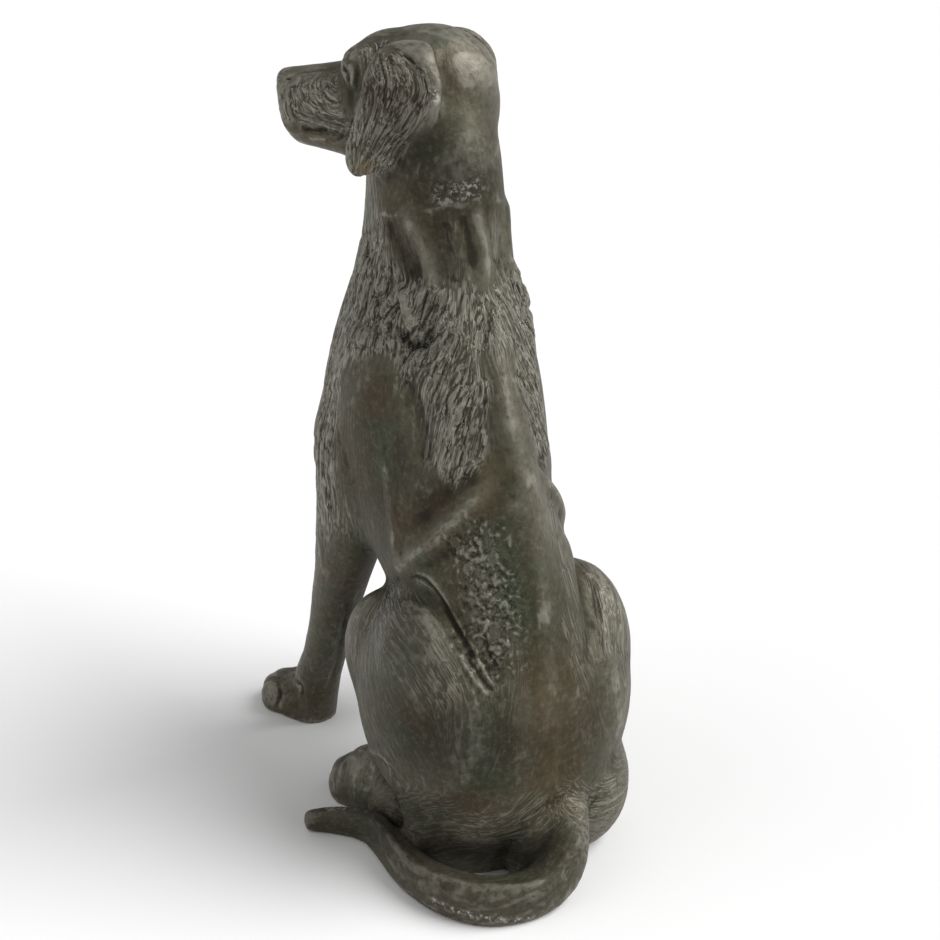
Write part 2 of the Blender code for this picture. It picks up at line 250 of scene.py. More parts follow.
# The chased folds: creases, ridges and edges that a chisel and a file leave, drawn on the photograph.
# A ridge has its crest on the line, and a groove is a ridge of negative height. An edge stands proud on the
# left of the line's run. Each fold says what it mirrors in, its kind, its reach and height in millimetres,
# and its line.
EDGE_SOFTNESS = 0.16
FOLD_STEPS = 6
FOLD_SURROUNDINGS = 0.03
FADING_END = 0.25
MILLIMETRES_IN_METRE = 1000
STEEPEST = 40
FOLDS = {
    # Ear: its smooth raised rim round the hair, and its front border
    "ear's raised rim": (
        "head", "edge", 11.0, 3.0,
        [(380, 46), (396, 48), (414, 58), (428, 76), (431, 94), (424, 114), (404, 138), (376, 160)],
    ),
    "groove inside the ear's rim": (
        "head", "ridge", 2.4, -1.6,
        [(384, 50), (398, 53), (412, 61), (424, 78), (427, 96), (418, 118)],
    ),
    "ear's front border": ("head", "ridge", 2.6, -1.4, [(366, 60), (360, 96), (351, 126), (347, 149)]),
    # Brow, eye notch and lids
    "brow": ("head", "ridge", 3.4, 1.3, [(360, 40), (350, 50), (344, 60)]),
    "notch under the brow": ("head", "ridge", 2.0, -2.2, [(353, 43), (347, 55), (340, 66)]),
    "front corner of the eye": ("head", "ridge", 2.6, -3.4, [(342, 66), (346, 74), (349, 84)]),
    "swell behind the eye": ("head", "ridge", 2.6, 2.4, [(349, 62), (353, 74), (352, 88)]),
    "groove behind that swell": ("head", "ridge", 2.4, -1.0, [(356, 62), (358, 76), (354, 92)]),
    # Nose pad, nostril and the line along the bridge
    "edge of the nose pad": ("head", "ridge", 1.6, -1.0, [(301, 74), (303, 80), (298, 86), (286, 88)]),
    "nostril": ("head", "ridge", 1.6, -2.2, [(284, 80), (288, 78), (291, 80)]),
    "line along the bridge of the nose": ("head", "ridge", 1.5, -0.8, [(292, 74), (314, 71), (336, 68)]),
    # Upper edge of the flews, the mouth and the lower lip
    "upper edge of the flews": (
        "head", "ridge", 2.0, 1.8,
        [(306, 94), (314, 91), (319, 92), (324, 88), (330, 91), (338, 91)],
    ),
    "mouth": ("head", "ridge", 4.0, -3.2, [(282, 122), (300, 128), (322, 131), (350, 135)]),
    "lower lip": ("head", "ridge", 2.6, 1.0, [(288, 134), (306, 138), (330, 139)]),
    # Weld seam of the neck and the folds that hang under it
    "weld seam of the neck": (
        "none", "edge", 8.0, 0.9,
        [(366, 219), (380, 216), (394, 219), (412, 211), (430, 214), (448, 207), (466, 209), (500, 204)],
    ),
    "left fold under the seam": (
        "body", "ridge", 8.0, 3.8,
        [(404, 208), (412, 226), (424, 248), (432, 274), (434, 304)],
    ),
    "hollow before the left fold": (
        "body", "ridge", 10.0, -2.4,
        [(384, 214), (392, 236), (408, 262), (420, 292)],
    ),
    "hollow behind the left fold": (
        "body", "ridge", 9.0, -1.8,
        [(440, 208), (448, 236), (454, 268), (452, 304)],
    ),
    "right fold under the seam": (
        "none", "ridge", 7.0, 3.6,
        [(472, 204), (478, 226), (485, 252), (488, 292)],
    ),
    "hollow beside the right fold": ("none", "ridge", 8.0, -2.4, [(462, 206), (468, 240), (474, 280)]),
    # The mane's lower edge over the smooth arm, its deep scallop and the two locks above that
    "mane's lower edge": (
        "body", "edge", 12.0, 2.2,
        [(338, 330), (358, 343), (380, 350), (396, 342), (412, 350), (430, 346)],
    ),
    "mane's deep scallop": (
        "body", "ridge", 5.0, -5.0,
        [(396, 318), (403, 336), (412, 346), (424, 344), (434, 328)],
    ),
    "lock over the scallop": ("body", "ridge", 4.5, 4.0, [(403, 288), (409, 310), (413, 336)]),
    "lock before the scallop": ("body", "ridge", 5.0, 2.4, [(384, 296), (386, 318), (384, 342)]),
    # Spine: a crisp edge with a smooth strip on its right and a shallow hollow on its left
    "spine's upper edge": (
        "none", "edge", 24.0, 3.4,
        [(484, 262), (488, 293), (492, 336), (493, 370), (498, 410), (508, 438), (520, 470)],
    ),
    "spine's lower edge": (
        "none", "edge", 24.0, 3.4,
        [(506, 432), (524, 479), (534, 508), (537, 563), (537, 614), (534, 640)],
    ),
    "hollow left of the spine": (
        "none", "ridge", 15.0, -2.4,
        [(474, 285), (478, 336), (478, 380), (486, 424), (502, 466), (514, 510)],
    ),
    "hollow right of the spine": ("none", "ridge", 9.0, -1.6, [(524, 300), (534, 366), (548, 440)]),
    "dent in the far ribs": ("none", "ridge", 4.5, -2.6, [(546, 372), (550, 392), (551, 410)]),
    "hollow over the far hip": ("none", "ridge", 12.0, -1.8, [(556, 600), (566, 650), (574, 700)]),
    # Shoulder blade, its rear valley, the loose skin behind the arm and the hollow of the flank
    "valley behind the shoulder blade": (
        "body", "ridge", 9.0, -2.6,
        [(392, 356), (408, 384), (422, 414), (426, 448), (418, 486)],
    ),
    "swell behind that valley": ("body", "ridge", 12.0, 1.8, [(436, 380), (444, 424), (438, 470)]),
    "loose skin behind the arm": ("body", "ridge", 8.0, 2.2, [(384, 448), (390, 500), (397, 566)]),
    "hollow of the flank": ("body", "ridge", 13.0, -5.0, [(400, 536), (434, 506), (460, 486), (486, 460)]),
    "fold under the flank's hollow": (
        "body", "ridge", 8.0, 3.8,
        [(392, 572), (430, 544), (464, 512), (496, 480)],
    ),
    "hollow under that fold": ("body", "ridge", 9.0, -2.4, [(416, 572), (446, 554), (470, 530)]),
    # Haunch: the crisp crease over the thigh, its lip, and the V of folds where the loin ends
    "crease over the thigh": (
        "none", "ridge", 2.4, -1.7,
        [(404, 577), (420, 578), (437, 592), (452, 620), (469, 650), (488, 672)],
    ),
    "lip of the crease": (
        "none", "edge", 6.0, 2.4,
        [(414, 572), (430, 580), (444, 598), (458, 624), (474, 650), (490, 668)],
    ),
    "loin's edge beside the crease": ("none", "ridge", 2.4, -1.8, [(482, 630), (489, 652), (500, 672)]),
    "upper lip of the V": ("none", "ridge", 2.2, 1.9, [(468, 640), (478, 660), (488, 678), (498, 689)]),
    "groove of the V": ("none", "ridge", 1.9, -1.9, [(464, 648), (475, 668), (486, 684), (495, 693)]),
    "lower lip of the V": ("none", "ridge", 2.2, 1.6, [(458, 652), (470, 674), (482, 690), (492, 697)]),
    "far thigh's softer line": (
        "none", "ridge", 6.0, -1.6,
        [(589, 574), (595, 602), (600, 640), (606, 676)],
    ),
    # Legs and tail: tendon groove of the foreleg, toes, rim of the hind paw and arris of the tail
    "tendon groove of the foreleg": ("body", "ridge", 5.0, -1.8, [(352, 580), (342, 640), (330, 700)]),
    "outer groove of the toes": (
        "body", "ridge", 2.4, -2.2,
        [(272, 668), (278, 680), (280, 694), (276, 710)],
    ),
    "inner groove of the toes": ("body", "ridge", 2.4, -2.0, [(292, 672), (300, 684), (302, 700)]),
    "rim of the hind paw": (
        "none", "ridge", 4.0, 1.6,
        [(342, 796), (340, 774), (352, 758), (374, 752), (390, 766), (393, 790)],
    ),
    "hollow inside the hind paw's rim": ("none", "ridge", 8.0, -1.6, [(360, 790), (364, 772), (372, 768)]),
    "arris of the tail": (
        "none", "ridge", 5.0, 2.2,
        [(319, 802), (361, 809), (387, 835), (413, 866), (450, 880), (492, 887), (534, 884), (566, 864)],
    ),
}


def lifted(places, normals, folds):
    """How far every fold together moves each place along its normal."""
    lift = np.zeros(len(places))
    for side, kind, reach, height, line in folds.values():
        points = stations(line)
        if len(points) < 2:
            continue
        lines = [points]
        if side != "none":
            lines.append([mirrored(p, side) for p in points])
        for run in lines:
            curve = drawn([skin_tree.find_nearest(Vector(p))[0] for p in run], FOLD_STEPS)
            low = curve.min(0) - FOLD_SURROUNDINGS
            high = curve.max(0) + FOLD_SURROUNDINGS
            near = ((places > low) & (places < high)).all(1)
            index = np.flatnonzero(near)
            if len(index) == 0:
                continue
            spots = places[index]
            gap = np.full(len(index), np.inf)
            beside = np.zeros(len(index))
            share = np.zeros(len(index))
            for i, (a, b) in enumerate(zip(curve, curve[1:])):
                step = b - a
                t = np.clip((spots - a) @ step / (step @ step), 0, 1)
                off = spots - a - t[:, None] * step
                length = np.linalg.norm(off, axis=1)
                closer = length < gap
                gap[closer] = length[closer]
                share[closer] = (i + t[closer]) / (len(curve) - 1)
                left = np.cross(normals[index], step / np.linalg.norm(step))
                beside[closer] = (off * left).sum(1)[closer]
            width = reach / MILLIMETRES_IN_METRE
            fade = np.clip(np.minimum(share, 1 - share) / FADING_END, 0, 1)
            fade = fade * fade * (3 - 2 * fade)
            shape = np.exp(-((gap / width) ** 2))
            if kind == "edge":
                below = np.clip(-beside / (EDGE_SOFTNESS * width), -STEEPEST, STEEPEST)
                shape = shape / (1 + np.exp(below))
            lift[index] += height / MILLIMETRES_IN_METRE * fade * shape
    return lift


places = vertex_places(skin)
normals = vertex_normals(skin)
move_vertices(skin, places + normals * lifted(places, normals, FOLDS)[:, None])

# The combed coat: every line is a lock's run from root to tip, with how deep its strands are cut in
# millimetres and how proud the tufts stand. Where the smooth hide shows, the depths are small.
COMBED = {
    "bridge of the nose": ("head", 0.10, 0.0, [(291, 77), (315, 70), (338, 66)]),
    "cheek, low": ("head", 0.60, 0.0, [(338, 128), (312, 124), (296, 116), (289, 104), (290, 92)]),
    "cheek, middle": ("head", 0.70, 0.0, [(338, 118), (322, 115), (308, 106), (302, 96), (303, 88)]),
    "cheek, high": ("head", 0.40, 0.0, [(338, 106), (328, 102), (320, 95), (318, 88)]),
    "cheek before the ear": ("head", 0.08, 0.0, [(346, 88), (349, 110), (352, 130)]),
    "eye": ("head", 0.08, 0.0, [(350, 60), (352, 75), (350, 95)]),
    "mouth": ("head", 0.02, 0.0, [(284, 124), (304, 129), (326, 132), (350, 136)]),
    "chin": ("head", 0.20, 0.0, [(296, 136), (318, 140), (340, 148), (352, 154)]),
    "front hair of the ear": ("head", 0.55, 0.0, [(366, 56), (363, 90), (357, 130), (354, 158)]),
    "ear's hair, second lock": ("head", 0.95, 0.2, [(384, 47), (384, 80), (374, 120), (360, 158)]),
    "ear's hair, third lock": ("head", 1.00, 0.3, [(402, 52), (408, 85), (392, 122), (366, 158)]),
    "ear's hair, last lock": ("head", 1.00, 0.3, [(424, 68), (430, 92), (414, 124), (374, 160)]),
    "ear's smooth rim, outer side": (
        "head", 0.03, 0.0,
        [(394, 42), (416, 48), (434, 64), (441, 84), (438, 110), (420, 138)],
    ),
    "ear's smooth rim, inner side": (
        "head", 0.02, 0.0,
        [(386, 46), (410, 53), (427, 67), (435, 86), (432, 108), (414, 136)],
    ),
    "crown": ("head", 0.05, 0.0, [(372, 34), (415, 27), (460, 32), (488, 50)]),
    "skull behind the ear": ("head", 0.05, 0.0, [(420, 40), (452, 52), (478, 74)]),
    "nape, left": ("body", 0.04, 0.0, [(452, 100), (452, 140), (448, 190)]),
    "nape, right": ("body", 0.04, 0.0, [(488, 90), (490, 140), (494, 195)]),
    "neck behind the ear": ("body", 0.04, 0.0, [(432, 128), (420, 150), (408, 168), (406, 190)]),
    "neck under the ear": ("body", 0.04, 0.0, [(392, 178), (394, 192), (398, 208)]),
    "throat": ("body", 0.30, 0.1, [(369, 176), (370, 200), (370, 225)]),
    "neck before the left fold": ("body", 0.12, 0.0, [(396, 222), (404, 250), (414, 280)]),
    "neck on the left fold": ("body", 0.06, 0.0, [(424, 222), (432, 250), (436, 284)]),
    "neck between the folds": ("body", 0.25, 0.3, [(456, 226), (458, 258), (456, 290)]),
    "neck on the right fold": ("body", 0.05, 0.0, [(480, 215), (484, 245), (486, 285)]),
    "mane at the throat": ("body", 0.75, 0.8, [(374, 240), (366, 268), (356, 305)]),
    "mane, first lock": ("body", 0.95, 1.3, [(396, 280), (388, 305), (382, 338)]),
    "mane, second lock": ("body", 0.95, 1.3, [(414, 290), (410, 315), (400, 342)]),
    "mane, third lock": ("body", 0.95, 1.2, [(440, 292), (434, 318), (420, 345)]),
    "mane beside the spine": ("body", 0.70, 0.7, [(466, 292), (456, 320), (440, 352)]),
    "side of the chest": ("body", 0.70, 0.6, [(352, 318), (338, 360), (328, 420), (324, 480)]),
    "shoulder": ("body", 0.08, 0.0, [(384, 360), (378, 400), (372, 450), (372, 500)]),
    "front of the shoulder": ("body", 0.12, 0.0, [(352, 370), (346, 430), (346, 490)]),
    "diagonal locks, upper": ("body", 0.90, 0.5, [(482, 320), (462, 370), (440, 420)]),
    "diagonal locks, lower": ("body", 0.95, 0.5, [(484, 380), (466, 430), (446, 480)]),
    "behind the shoulder": ("body", 0.10, 0.0, [(410, 400), (408, 460), (400, 520)]),
    "fold of the flank": ("body", 0.03, 0.0, [(486, 486), (466, 506), (436, 532), (400, 562)]),
    "hollow of the flank": ("body", 0.06, 0.0, [(440, 480), (432, 500), (424, 520)]),
    "skin along the thigh's crease": ("body", 0.06, 0.0, [(424, 584), (446, 612), (466, 646), (486, 676)]),
    "strip right of the spine, upper": (
        "body", 0.05, 0.0,
        [(502, 235), (508, 310), (512, 380), (522, 430)],
    ),
    "strip right of the spine, lower": (
        "body", 0.05, 0.0,
        [(518, 430), (538, 490), (552, 560), (558, 620)],
    ),
    "far ribs, upper": ("body", 0.60, 0.5, [(524, 270), (540, 350), (550, 430)]),
    "far ribs, lower": ("body", 0.35, 0.1, [(555, 470), (572, 530), (582, 580)]),
    "loin": ("body", 0.30, 0.0, [(480, 520), (486, 570), (484, 630), (488, 680)]),
    "back beside the loin": ("body", 0.06, 0.0, [(522, 500), (530, 560), (532, 620)]),
    "thigh under the V": ("body", 0.34, 0.0, [(424, 636), (440, 662), (456, 690)]),
    "thigh, front": ("body", 0.24, 0.0, [(368, 605), (356, 660), (368, 730), (388, 770)]),
    "thigh, middle": ("body", 0.30, 0.0, [(385, 602), (408, 650), (438, 690)]),
    "thigh, back": ("body", 0.28, 0.0, [(412, 600), (438, 650), (464, 690)]),
    "thigh, low": ("body", 0.15, 0.0, [(390, 690), (412, 730), (440, 780)]),
    "rump, left": ("body", 0.05, 0.0, [(470, 700), (480, 760), (470, 810)]),
    "rump, middle": ("body", 0.05, 0.0, [(500, 710), (510, 760), (505, 810)]),
    "rump, upper": ("body", 0.05, 0.0, [(530, 640), (536, 700), (530, 770)]),
    "far hip": ("body", 0.28, 0.1, [(560, 610), (584, 680), (606, 740)]),
    "seat by the tail's root": ("body", 0.30, 0.1, [(572, 790), (596, 794), (618, 782)]),
    "far thigh": ("body", 0.26, 0.1, [(600, 580), (610, 640), (626, 700)]),
    "seat behind the hind paw": ("body", 0.22, 0.0, [(460, 808), (425, 812), (400, 806)]),
    "hind paw": ("body", 0.20, 0.0, [(352, 755), (344, 778), (345, 800)]),
    "tail": ("none", 0.15, 0.0, [(562, 850), (520, 885), (450, 890), (402, 855), (372, 818), (320, 815)]),
    "foreleg": ("body", 0.10, 0.0, [(362, 560), (340, 620), (316, 680)]),
    "breast, middle": ("body", 0.55, 0.6, [(-2.8, -13, 74), (-2.8, -19, 60), (-2.8, -20, 48)]),
    "breast, side": ("body", 0.50, 0.5, [(2, -13, 66), (3, -18, 52), (2, -16, 42)]),
    "inner side of the foreleg": ("body", 0.10, 0.0, [(6, -14, 24), (6, -18, 12), (6, -23, 5)]),
}


LATTICE_SIDE = 64
LATTICE_SEED = 7
LATTICE = np.random.default_rng(LATTICE_SEED).uniform(-1, 1, (LATTICE_SIDE,) * 3)


def grain(places, size):
    """Smooth noise from -1 to 1 whose lumps are about as large as size."""
    spot = places / size
    low = np.floor(spot).astype(int)
    part = spot - low
    part = part * part * (3 - 2 * part)
    total = 0
    for corner in np.ndindex(2, 2, 2):
        share = np.prod(np.where(corner, part, 1 - part), axis=1)
        total = total + share * LATTICE[tuple((low + corner).T % LATTICE_SIDE)]
    return total


def guides():
    """Every stretch of every combed line: its place, its direction, the skin's normal and its two depths."""
    made = []
    for side, strand, tuft, line in COMBED.values():
        points = stations(line)
        if len(points) < 2:
            continue
        lines = [points]
        if side != "none":
            lines.append([mirrored(p, side) for p in points])
        for run in lines:
            curve = drawn([skin_tree.find_nearest(p)[0] for p in run], LINE_STEPS)
            for a, b in zip(curve, curve[1:]):
                step = b - a
                length = np.linalg.norm(step)
                if length > SAME_POINT:
                    middle = (a + b) / 2
                    normal = skin_tree.find_nearest(Vector(middle))[1]
                    made.append((*middle, *(step / length), *normal, strand, tuft))
    return np.array(made)


GUIDES = guides()
PLACES_AT_ONCE = 20000
SHORTEST = 1e-9
FACING_AWAY = 0.03
GUIDE_BLUR = 0.009
SWAY_LENGTH = 0.026
STRAND_SWAY = 0.06
TUFT_SWAY = 0.22


def combed_at(places, normals):
    """Direction of the hair and its two depths at places of the skin, from near guides that face alike."""
    found = np.empty((len(places), 5))
    for start in range(0, len(places), PLACES_AT_ONCE):
        part = slice(start, start + PLACES_AT_ONCE)
        gap = ((places[part, None] - GUIDES[None, :, :3]) ** 2).sum(2)
        facing = np.clip(normals[part] @ GUIDES[:, 6:9].T, 0, 1)
        weight = (FACING_AWAY + facing) ** 2 / (gap + GUIDE_BLUR**2) ** 2
        weight /= weight.sum(1, keepdims=True)
        found[part, :3] = weight @ GUIDES[:, 3:6]
        found[part, 3:] = weight @ GUIDES[:, 9:]
    along = found[:, :3]
    along -= (along * normals).sum(1, keepdims=True) * normals
    along /= np.maximum(np.linalg.norm(along, axis=1, keepdims=True), SHORTEST)
    sway = STRAND_SWAY + TUFT_SWAY * np.clip(found[:, 4:], 0, 1)
    turn = sway * grain(places, SWAY_LENGTH)[:, None]
    along = np.cos(turn) * along + np.sin(turn) * np.cross(normals, along)
    return along, found[:, 3], found[:, 4]


# The volume round the dog in which a strand's run can be followed from any place
CELL = 0.006
MARGIN = 3
SPREADING_ROUNDS = 3
SPREADING_SHARE = 0.5
SHORTEST_RUN = 1e-6
box_low = np.array(cad_box[0][:]) - MARGIN * CELL
cells = np.ceil((np.array(cad_box[1][:]) - box_low) / CELL).astype(int) + MARGIN + 1


def comb_volume():
    """The hair's direction in every cell near the skin."""
    places = vertex_places(skin)
    normals = vertex_normals(skin)
    total = np.zeros((np.prod(cells), 6))
    nearest = np.round((places - box_low) / CELL).astype(int)
    flat = np.ravel_multi_index(nearest.T, cells)
    for i in range(3):
        total[:, i] = np.bincount(flat, places[:, i], len(total))
        total[:, 3 + i] = np.bincount(flat, normals[:, i], len(total))
    count = np.bincount(flat, minlength=len(total))
    used = count > 0
    middle = total[used, :3] / count[used, None]
    normal = total[used, 3:]
    normal /= np.maximum(np.linalg.norm(normal, axis=1, keepdims=True), SHORTEST)
    along = combed_at(middle, normal)[0]
    volume = np.zeros((*cells, 3))
    weight = np.zeros((*cells, 1))
    volume.reshape(-1, 3)[used] = along
    weight.reshape(-1, 1)[used] = 1
    for _ in range(SPREADING_ROUNDS):
        for axis in range(3):
            volume = volume + SPREADING_SHARE * (np.roll(volume, 1, axis) + np.roll(volume, -1, axis))
            weight = weight + SPREADING_SHARE * (np.roll(weight, 1, axis) + np.roll(weight, -1, axis))
    return volume / np.maximum(weight, SHORTEST)


COMB = comb_volume()


def between_cells(volume, places):
    """The volume's values at places, blended between its cells."""
    spot = np.clip((places - box_low) / CELL, 0, np.array(volume.shape[:3]) - 1.001)
    low = spot.astype(int)
    part = spot - low
    total = 0
    for corner in np.ndindex(2, 2, 2):
        share = np.prod(np.where(corner, part, 1 - part), axis=1)
        total = total + share[:, None] * volume[tuple((low + corner).T)]
    return total


def combed_grain(places, size, reach, taps):
    """Noise drawn out along the hair: each place's value is the mean along its strand."""
    total = grain(places, size)
    step = reach / taps
    for way in (1, -1):
        at = places.copy()
        for _ in range(taps):
            along = between_cells(COMB, at)
            along /= np.maximum(np.linalg.norm(along, axis=1, keepdims=True), SHORTEST_RUN)
            at = at + way * step * along
            total = total + grain(at, size)
    return total / total.std()


# The loin is modelled as small tight curls instead of strands
CURLS = [(476, 548), (486, 580), (494, 610), (488, 656)]
CURLS_REACH = 25
BEND_SHIFT = 0.37
BENDING = 0.8


def curled_grain(places, size):
    """Noise whose lumps are bent into small curls."""
    bend = np.stack([grain(places + BEND_SHIFT * k, 2 * size) for k in range(3)], 1)
    total = grain(places + BENDING * size * bend, size)
    return total / total.std()


# Strands, tufts and curls are rounded, with sharp cuts between them. The shares of roundness and cut make
# up the relief in millimetres, and a spread is how much of the noise a cut takes.
FULL_TUFT = 0.7
STRAND_ROUND = 0.40
STRAND_CUT = 0.35
TUFT_ROUND = 1.0
TUFT_CUT = 0.9
CURL_ROUND = 0.8
CURL_CUT = 1.0
SMALL_CURL_SHARE = 0.6
HAIR_UNDER_CURLS = 0.4
HIGHEST = 2
STRAND_WIDTH = 0.0036
LONG_STRAND = 0.020
TUFTED_STRAND = 0.017
TUFT_WIDTH = 0.0100
TUFT_LENGTH = 0.018
CUT_SPREAD = 0.4
PARTING_SPREAD = 0.45
LARGE_CURL = 0.0066
SMALL_CURL = 0.0038

places = vertex_places(skin)
normals = vertex_normals(skin)
along, strand, tuft = combed_at(places, normals)
locks = np.clip(tuft / FULL_TUFT, 0, 1)
long_strands = (1 - locks) * combed_grain(places, STRAND_WIDTH, LONG_STRAND, taps=9)
strands = long_strands + locks * combed_grain(places, STRAND_WIDTH, TUFTED_STRAND, taps=7)
tufts = combed_grain(places, TUFT_WIDTH, TUFT_LENGTH, taps=4)
cut = 1 - 2 * np.exp(-((strands / CUT_SPREAD) ** 2))
parted = 1 - 2 * np.exp(-((tufts / PARTING_SPREAD) ** 2))
strand_height = strand * (STRAND_ROUND * np.clip(strands, -HIGHEST, HIGHEST) + STRAND_CUT * cut)
height = strand_height + tuft * (TUFT_ROUND * np.clip(tufts, -HIGHEST, HIGHEST) + TUFT_CUT * parted)
curls = near_line(places, CURLS, CURLS_REACH)
curled = curled_grain(places, LARGE_CURL) + SMALL_CURL_SHARE * curled_grain(places, SMALL_CURL)
between_curls = np.exp(-((curled / CUT_SPREAD) ** 2))
curl_height = CURL_ROUND * np.clip(curled, -HIGHEST, HIGHEST) - CURL_CUT * between_curls
height += curls * (curl_height - HAIR_UNDER_CURLS * height)
move_vertices(skin, places + normals * MILLIMETRE * height[:, None])

places = vertex_places(skin)
low = places[:, 2] < FLAT_SOLE
places[low, 2] = 0
move_vertices(skin, places)

dog = bpy.data.objects.new("seated_dog_bronze", skin)
scene.collection.objects.link(dog)
fewer = dog.modifiers.new("fewer", "DECIMATE")
fewer.ratio = FINAL_TRIANGLES / (2 * len(skin.polygons))
dog.data = bpy.data.meshes.new_from_object(dog.evaluated_get(bpy.context.evaluated_depsgraph_get()))
dog.modifiers.clear()
dog.data.shade_smooth()


# Where the patina differs, and where shade and highlights are painted into it: what it turns to, how far that
# reaches in millimetres, how strongly, and its line.
STAINS_AND_PAINTED_LIGHT = {
    "middle of the ear": ("reddish", 24, 0.8, [(388, 70), (392, 104)]),
    "hollow of the flank": ("reddish", 16, 0.7, [(412, 520), (440, 502)]),
    "spot over the scallop": ("reddish", 14, 0.6, [(412, 318), (424, 330)]),
    "seat by the tail": ("reddish", 22, 0.7, [(452, 800), (480, 810)]),
    "rump": ("reddish", 34, 0.5, [(548, 700), (556, 760)]),
    "rump's left side": ("greenish", 20, 0.7, [(478, 730), (486, 770)]),
    "under the fold of the flank": ("greenish", 14, 0.6, [(420, 560), (430, 600)]),
    "back beside the loin": ("greenish", 20, 0.6, [(505, 540), (508, 600)]),
    "beside the thigh's crease": ("greenish", 12, 0.4, [(412, 650), (420, 670)]),
    "spot on the rump": ("pale", 12, 0.4, [(516, 690), (526, 720)]),
    # Painted highlight: the smooth strip right of the spine is lighter where it faces the light from above
    # right.
    "strip right of the spine": ("pale", 24, 0.7, [(500, 240), (508, 320), (520, 430), (548, 520)]),
    # Painted highlight on the crown, which is lit from above.
    "crown": ("pale", 34, 0.55, [(425, 34), (466, 32), (488, 66), (488, 96)]),
    "ear": ("pale", 34, 0.5, [(404, 80), (392, 120), (370, 150)]),
    "mane": ("pale", 40, 0.95, [(360, 300), (400, 310), (450, 320)]),
    "tail": ("dark", 34, 0.5, [(320, 815), (402, 860), (450, 900), (520, 905), (570, 860)]),
    "diagonal locks": ("pale", 30, 0.45, [(470, 360), (452, 440)]),
    "loin": ("pale", 20, 0.4, [(484, 560), (490, 640)]),
    "band across the ear": ("reddish", 12, 0.9, [(366, 90), (384, 106), (400, 98), (416, 102)]),
    "front of the ear's band": ("dark", 12, 0.6, [(366, 92), (384, 106)]),
    "back of the ear's band": ("dark", 9, 0.6, [(398, 96), (416, 102)]),
    "mouth": ("dark", 4, 0.9, [(284, 124), (304, 129), (326, 132), (348, 135)]),
    "spot on the ear": ("pale", 6, 0.9, [(374, 72), (386, 74)]),
    "lower ear": ("pale", 9, 0.7, [(428, 114), (404, 140), (376, 158)]),
    "shoulder's front": ("reddish", 18, 0.6, [(368, 386), (376, 402)]),
    "shoulder": ("greenish", 16, 0.6, [(384, 436), (380, 462)]),
    "spot behind the shoulder": ("dark", 10, 0.5, [(398, 440), (402, 470)]),
    "line of the seam": ("dark", 4, 0.6, [(394, 222), (430, 217), (466, 212), (496, 208)]),
    "shade inside the tail": ("dark", 22, 0.8, [(420, 818), (480, 852), (540, 850)]),
    # Painted highlight on the far hip, which faces the light.
    "far hip": ("pale", 26, 0.5, [(600, 600), (616, 680), (612, 760)]),
    "hind paw": ("pale", 20, 0.8, [(356, 768), (380, 780)]),
    # Painted highlight on the muzzle's upper side, which faces the light.
    "muzzle": ("pale", 24, 0.7, [(298, 80), (316, 108)]),
    "ear's rim": ("pale", 6, 0.8, [(394, 42), (416, 48), (434, 64), (441, 84), (438, 110)]),
    # Painted highlight along the crest of the neck's left fold.
    "left fold of the neck": ("pale", 9, 1.0, [(408, 216), (424, 248), (433, 280)]),
    "lock over the scallop": ("pale", 6, 0.9, [(405, 296), (410, 318), (413, 334)]),
    "mane's lower edge": ("pale", 9, 0.5, [(345, 333), (365, 338), (385, 334)]),
    "lip of the crease": ("pale", 4, 0.9, [(470, 644), (480, 664), (489, 679), (498, 689)]),
    "lower lip of the V": ("pale", 4, 0.7, [(462, 656), (472, 676), (484, 691)]),
    "scallop": ("dark", 6, 1.0, [(402, 334), (412, 346), (424, 344), (432, 332)]),
    # Painted highlight along the crest of the neck's right fold.
    "right fold of the neck": ("pale", 8, 0.9, [(476, 212), (484, 244), (487, 290)]),
    "fold of the flank": ("pale", 10, 0.6, [(402, 562), (436, 534), (468, 504), (486, 484)]),
    # Painted shade over the rump, which faces down and away from the light.
    "whole rump": ("dark", 54, 0.85, [(430, 740), (500, 745), (566, 740)]),
    "upper thigh": ("dark", 34, 0.55, [(400, 640), (440, 660)]),
    # Painted shade on the neck under the ear.
    "neck": ("dark", 42, 0.90, [(424, 150), (450, 180), (474, 182)]),
    "whole shoulder": ("dark", 40, 0.22, [(372, 400), (376, 500)]),
    "far side of the rump": ("brassy", 34, 0.30, [(548, 700), (556, 780)]),
    "spine": ("brassy", 14, 0.30, [(478, 500), (492, 470)]),
    "hollow before the neck's left fold": ("dark", 14, 0.7, [(392, 232), (410, 266)]),
    "hollow behind the neck's left fold": ("dark", 14, 0.7, [(440, 226), (450, 270)]),
    "deep part of the flank's hollow": ("dark", 16, 0.7, [(424, 500), (446, 490)]),
    "valley behind the shoulder blade": ("dark", 12, 0.5, [(426, 416), (424, 446)]),
    # Painted shade on the seat under the thigh.
    "seat": ("dark", 20, 0.5, [(400, 800), (440, 812)]),
    "scratches over the seam": ("chipped", 8, 0.32, [(442, 196), (476, 188)]),
    "tip of the ear": ("brassy", 6, 1.0, [(361, 171), (368, 165)]),
    "chip on the ear's rim": ("chipped", 3.5, 1.0, [(433, 92), (435, 99)]),
    "chips along the tail's foot": ("chipped", 3, 0.7, [(436, 902), (468, 914), (500, 920), (530, 918)]),
    "chips on the tail's tip": ("chipped", 4, 0.4, [(330, 808), (350, 809)]),
    "top of the tail": ("dark", 16, 0.5, [(366, 814), (402, 852), (450, 888), (512, 888), (556, 850)]),
    # Painted shadow of the ear on the neck behind it.
    "neck behind the ear": ("dark", 22, 0.5, [(425, 120), (420, 170), (424, 200)]),
}


# How hollow the skin is, against its nearest surroundings and against broader ones
FINE_ROUNDS = 3
BROAD_ROUNDS = 30
FINE_DEPTH = 0.0003
BROAD_DEPTH = 0.0014
SMOOTHING = 0.5
TUFT_SHORTENING = 0.07
CURLS_COMBED = 0.5


